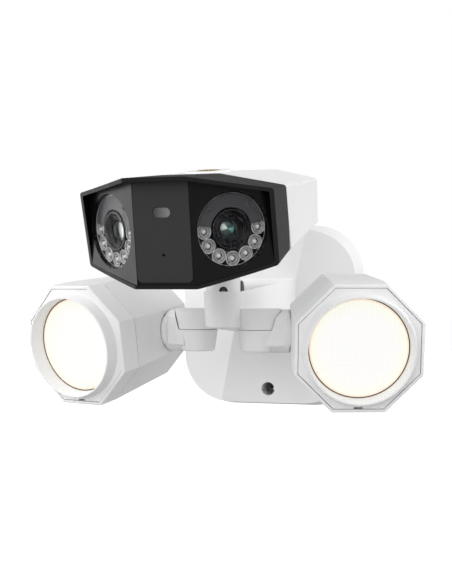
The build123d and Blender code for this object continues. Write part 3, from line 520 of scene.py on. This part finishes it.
for side, sign in (("right", 1), ("left", -1)):
    place = eye_place(sign, side + "_window")

    def disc(bm):
        lathe(bm, scaled([(0, -window_half), (20.9, -window_half), (21.15, -window_half + 0.25),
                          (21.15, window_half - 0.35), (20.8, window_half), (0, window_half)]),
              96, closed=False)

    def barrel(bm):
        """Stepped rings round the front element, over the full depth of the lens barrel."""
        lathe(bm, scaled([(4, -20.85), (11.4, -20.85), (11.4, -2.0), (11.2, -1.5), (10.8, -1.3),
                          (10.1, -1.4), (9.7, -1.8), (9.45, -2.5), (9.3, -2.6), (9.2, -2.3),
                          (8.95, -2.15), (8.7, -2.3), (8.5, -2.9), (8.3, -3.0), (8.2, -2.75),
                          (7.75, -2.6), (7.5, -2.8), (7.1, -3.7), (6.95, -3.8), (6.8, -3.6),
                          (6.5, -3.5), (6.4, -3.8), (6.4, -7.0), (4, -7.0)]), 96)

    def dome(bm):
        cap = arc(8.6, -10.2, 43.5, 90, 14)[1:-1]
        lathe(bm, scaled([(0, -6.6), (6.3, -6.6), (6.3, -4.35)] + cap + [(0, -1.6)]), 64,
              closed=False)

    def iris(bm):
        lathe(bm, scaled([(4.2, -8.4), (6.2, -7.6), (6.2, -7.0), (5.9, -6.95), (5.6, -7.2),
                          (5.2, -7.3), (5.0, -7.6), (4.3, -8.1)]), 48)

    def pupil(bm):
        cap = arc(6.2, -13.0, 42, 90, 8)[1:-1]
        lathe(bm, scaled([(0, -9.4), (4.6, -9.4), (4.6, -8.6)] + cap + [(0, -6.8)]), 40,
              closed=False)

    def led_spots():
        for i in range(led_count):
            a = radians(180 + 180 * i / (led_count - 1))
            yield led_ring * MM * cos(a), led_ring * MM * sin(a)

    def cups(bm):
        """Clear cups: a rim, a sloping wall with a fine step and a raised seat round the dome."""
        for spot in led_spots():
            lathe(bm, scaled([(0, -4.65), (3.95, -4.65), (3.95, -1.9), (3.7, -1.9), (3.3, -2.5),
                              (3.0, -3.1), (2.75, -3.1), (2.65, -2.6), (2.2, -2.6), (2.05, -3.9),
                              (0, -4.0)]), 36, closed=False, centre=spot)

    def cup_rims(bm):
        """Outer, middle and inner lips of the cups, painted pale grey as highlight lines on their
        edges.
        """
        lips = ((3.95, -1.75, 0.24), (3.2, -2.5, 0.16), (2.42, -2.4, 0.22))
        for spot in led_spots():
            for radius, height, thick in lips:
                lathe(bm, scaled([(radius + thick * cos(a), height + thick * sin(a))
                                  for a in (0, 0.9, 1.8, 2.7, 3.6, 4.5, 5.4)]), 36, centre=spot)

    def emitters(bm):
        cap = arc(1.4, -2.75, 0, 90, 6)[:-1]
        for spot in led_spots():
            lathe(bm, scaled([(0, -3.75), (1.95, -3.7), (1.75, -3.3)] + cap + [(0, -1.35)]), 28,
                  closed=False, centre=spot)

    def plate(bm):
        lathe(bm, scaled([(11.8, -6.2), (20.1, -6.2), (20.1, -4.7), (11.8, -4.7)]), 96)

    def crescent(bm):
        """Raised cover over the upper half of the emitter board."""
        inner, outer, low, high, steps = 12.0, 20.0, -4.7, -1.5, 48
        section = ((inner, low), (outer, low), (outer, high - 0.4), (outer - 0.4, high),
                   (inner + 0.4, high), (inner, high - 0.4))
        rings = []
        for i in range(steps + 1):
            a = radians(10 + 160 * i / steps)
            rings.append([bm.verts.new((r * MM * cos(a), r * MM * sin(a), h * MM))
                          for r, h in section])
        for p, q in zip(rings, rings[1:]):
            for k in range(len(section)):
                m = (k + 1) % len(section)
                bm.faces.new((p[k], p[m], q[m], q[k]))
        bm.faces.new(rings[0])
        bm.faces.new(rings[-1][::-1])

    def clips(bm):
        """Two small studs that hold the cover, close to the rim of the window."""
        for angle in clip_angles:
            a = radians(angle)
            lathe(bm, scaled([(0, -1.9), (1.6, -1.9), (1.6, -1.35), (1.4, -1.2), (0.9, -1.2),
                              (0.8, -1.6), (0, -1.6)]), 24, closed=False,
                  centre=(clip_ring * MM * cos(a), clip_ring * MM * sin(a)))

    def rim_line(bm):
        """Fine ring round the back of the window, painted pale as a highlight line along the
        window's edge.
        """
        lathe(bm, scaled([(20.0, -1.6), (20.15, -1.6), (20.15, -1.25), (20.0, -1.25)]), 96)

    for name, make, material, node in (
            ("window_pane", disc, materials["clear_window"], "window"),
            ("barrel_rings", barrel, lens_black, "lens_barrel"),
            ("dome_glass", dome, materials["coated_glass"], "front_element"),
            ("iris", iris, lens_black, None),
            # inner lens element carrying the painted highlight and reflection patches
            ("coated_pupil", pupil, pupil_painted_glints(side), None),
            ("emitter_cover", crescent, inner_plate, None),
            ("cover_clips", clips, clip_plastic, None),
            # thin ring whose pale colour is a painted highlight along the window's edge
            ("window_seal", rim_line, rim_highlight_paint, None),
            ("emitter_cups", cups, reflector_cup, "ir_lamps"),
            ("emitter_domes", emitters, emitter, None),
            ("cup_rims", cup_rims, rim_highlight_paint, None),
            ("emitter_plate", plate, inner_plate, "ir_board")):
        piece = mesh_object(side + "_" + name, make, material, place, 30)
        if node:
            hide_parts(side + "_" + node)
        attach(piece, "head")

# ---------------------------------------------------------------- softened CAD pieces
softened("centre_panel", 0.3 * MM)
for side in ("right", "left"):
    softened(side + "_lamp_arm", 0.5 * MM)
    softened(side + "_face_plate", 0.3 * MM)


# ---------------------------------------------------------------- small grey gland, its grey partly painted shade beside the neck
def gland(bm):
    """Curved rubber wall on the arm behind the right side of the neck, rounded at its top; its dark
    grey also paints the shade in the gap beside the neck.
    """
    centre, inner, outer, low, high, steps = (0.0, -161.5), 12.4, 13.9, 20.4, 27.4, 10
    rings = []
    for i in range(steps + 1):
        a = radians(22 + 34 * i / steps)
        ring = []
        for r, h in ((inner, low), (outer, low), (outer, low + 3.2), (outer - 0.35, high - 1.6),
                     (outer - 0.9, high - 0.4), (inner + 0.1, high), (inner, high - 0.2)):
            ring.append(bm.verts.new(((centre[0] + r * cos(a)) * MM,
                                      (centre[1] + r * sin(a)) * MM, h * MM)))
        rings.append(ring)
    for p, q in zip(rings, rings[1:]):
        for k in range(len(p)):
            m = (k + 1) % len(p)
            bm.faces.new((p[k], p[m], q[m], q[k]))
    bm.faces.new(rings[0])
    bm.faces.new(rings[-1][::-1])


# dark grey: partly the rubber's own colour, partly painted shade of the gap beside the neck
grey_rubber_and_shade = satin("grey_rubber_and_shade", (0.17, 0.17, 0.175), (0.21, 0.21, 0.215), (0.5, 0.6), 1500,
                    0.00002)
piece = mesh_object("neck_gland", gland, grey_rubber_and_shade)
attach(piece, "base")


# ---------------------------------------------------------------- stage, light and camera
def stage_floor(bm):
    size, below = 6.0, -0.42
    for x, y in ((-1, -1), (1, -1), (1, 1), (-1, 1)):
        bm.verts.new((x * size, y * size, below))
    bm.faces.new(bm.verts)


paper = satin("paper", (0.36, 0.36, 0.36), (0.38, 0.38, 0.38), (0.7, 0.8), 400, 0.00002)
paper_tree = paper.node_tree
paper_glow = paper_tree.nodes.new("ShaderNodeLightPath").outputs["Is Camera Ray"]
paper_shader = next(n for n in paper_tree.nodes if n.type == "BSDF_PRINCIPLED")
paper_shader.inputs["Emission Color"].default_value = (1, 1, 1, 1)
paper_tree.links.new(paper_glow, paper_shader.inputs["Emission Strength"])
floor = mesh_object("floor", stage_floor, paper)

world = bpy.data.worlds.new("studio")
bpy.context.scene.world = world
world.use_nodes = True
tree = world.node_tree
tree.nodes.clear()
out = tree.nodes.new("ShaderNodeOutputWorld")
path = tree.nodes.new("ShaderNodeLightPath")
seen = tree.nodes.new("ShaderNodeBackground")
light = tree.nodes.new("ShaderNodeBackground")
mix = tree.nodes.new("ShaderNodeMixShader")
seen.inputs["Color"].default_value = (1, 1, 1, 1)
light.inputs["Color"].default_value = (1, 1, 1, 1)
coords = tree.nodes.new("ShaderNodeTexCoord").outputs["Generated"]


def toward(direction, start, end, low, high):
    """Factor that runs from low to high as the sky direction turns toward a given one."""
    dot = tree.nodes.new("ShaderNodeVectorMath")
    dot.operation = "DOT_PRODUCT"
    tree.links.new(coords, dot.inputs[0])
    dot.inputs[1].default_value = Vector(direction).normalized()
    ramp = tree.nodes.new("ShaderNodeMapRange")
    ramp.interpolation_type = "SMOOTHSTEP"
    for key, value in (("From Min", start), ("From Max", end), ("To Min", low), ("To Max", high)):
        ramp.inputs[key].default_value = value
    tree.links.new(dot.outputs["Value"], ramp.inputs["Value"])
    return ramp.outputs["Result"]


sky = tree.nodes.new("ShaderNodeMath")
sky.operation = "MULTIPLY"
tree.links.new(toward((0, -0.97, 0.2), -0.5, 0.6, 0.3, 1.0), sky.inputs[0])
tree.links.new(toward((0.83, -0.44, -0.34), 0.8, 0.97, 1.0, 0.25), sky.inputs[1])
tree.links.new(sky.outputs[0], light.inputs["Strength"])
tree.links.new(path.outputs["Is Camera Ray"], mix.inputs["Fac"])
tree.links.new(light.outputs[0], mix.inputs[1])
tree.links.new(seen.outputs[0], mix.inputs[2])
tree.links.new(mix.outputs[0], out.inputs["Surface"])

target = Vector((-0.0013, -0.150, 0.0197))


def softbox(name, azimuth, elevation, distance, size, radiance):
    """Area light aimed at the object; azimuth 0 is straight in front, 90 is on the right."""
    a, e = radians(azimuth), radians(elevation)
    offset = Vector((sin(a) * cos(e), -cos(a) * cos(e), sin(e))) * distance
    data = bpy.data.lights.new(name, "AREA")
    data.shape = "RECTANGLE"
    data.size, data.size_y = size
    data.energy = radiance * pi * size[0] * size[1]
    lamp = bpy.data.objects.new(name, data)
    bpy.context.scene.collection.objects.link(lamp)
    lamp.location = target + offset
    lamp.rotation_euler = (-offset).to_track_quat("-Z", "Y").to_euler()


softbox("left_box", -78, 30, 1.5, (1.4, 1.4), 1.6)
softbox("left_strip", -94, -8, 1.5, (0.9, 0.75), 1.9)
softbox("right_box", 112, 18, 1.5, (1.4, 1.4), 2.3)
softbox("front_box", -5, 12, 2.2, (1.5, 1.0), 2.3)

camera = bpy.data.cameras.new("camera")
camera.lens = 61.6
camera.sensor_width = 36
view = bpy.data.objects.new("camera", camera)
bpy.context.scene.collection.objects.link(view)
azimuth, elevation, distance = radians(15), radians(0.34), 0.6733
back = Vector((sin(azimuth) * cos(elevation), -cos(azimuth) * cos(elevation), sin(elevation)))
view.location = target + back * distance
view.rotation_euler = (-back).to_track_quat("-Z", "Y").to_euler()
bpy.context.scene.camera = view
bpy.context.scene.view_settings.view_transform = "Standard"
